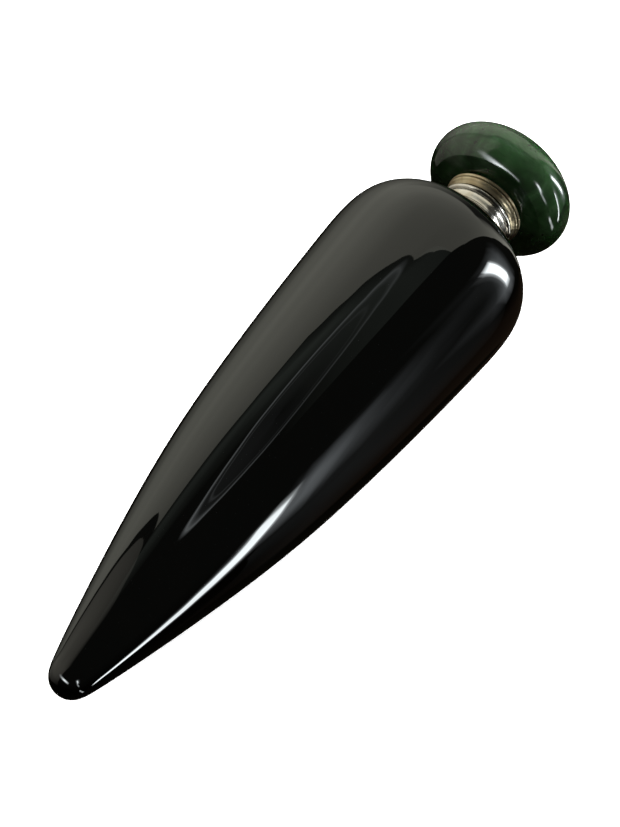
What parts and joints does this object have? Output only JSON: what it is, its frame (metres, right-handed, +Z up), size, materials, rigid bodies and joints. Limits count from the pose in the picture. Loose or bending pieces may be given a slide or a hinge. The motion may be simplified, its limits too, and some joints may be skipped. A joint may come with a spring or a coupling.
{
  "type": "perfume vial",
  "caption": "Drop-shaped polished black stone vial with a white-metal neck band and a green stone bun stopper, hollow, lying on its side",
  "frame": {"origin": "on the resting plane, under the middle of the vial's length", "axes": "+X from the blunt tip towards the stopper along the plan of the vial's axis, +Z up; the axis itself rises by 3.6 degrees towards the stopper"},
  "size_m": [0.0918, 0.0234, 0.0235],
  "materials": {
    "black_stone": "polished black onyx, mirror gloss",
    "white_metal": "polished silver, slightly warm",
    "green_stone": "polished dark green jade with paler clouds"
  },
  "bodies": {
    "root": {"vial_body": "black_stone", "neck_collar": "white_metal", "stopper_ferrule": "white_metal", "stopper_knob": "green_stone"}
  },
  "joints": []
}
